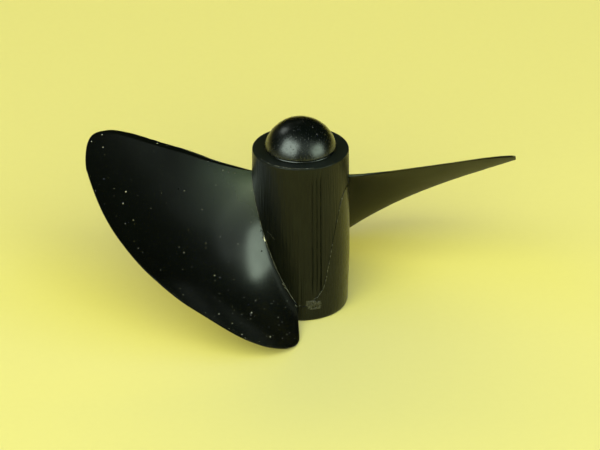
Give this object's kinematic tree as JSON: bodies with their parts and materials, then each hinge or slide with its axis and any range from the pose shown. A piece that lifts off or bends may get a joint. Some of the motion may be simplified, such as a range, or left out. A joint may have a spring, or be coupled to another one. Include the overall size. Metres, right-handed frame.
{
  "type": "model boat propeller",
  "caption": "Left-hand propeller for a model boat: opposed twisted blades moulded on a slim hub, domed nose cap on one end, threaded shaft bush in the other.",
  "frame": {"origin": "centre of the hub's flat drive face, on the shaft axis", "axes": "+Z along the shaft axis from the drive face to the nose cap; the blade tips lie close to the X axis"},
  "size_m": [0.0404, 0.0258, 0.0191],
  "materials": {
    "black_plastic": "satin moulded black nylon with draw lines",
    "cap_plastic": "semi-gloss black, lightly rubbed",
    "brass": "turned"
  },
  "bodies": {
    "root": {"hub_and_blades": "black_plastic", "nose_cap": "cap_plastic", "shaft_bush": "brass"}
  },
  "joints": []
}
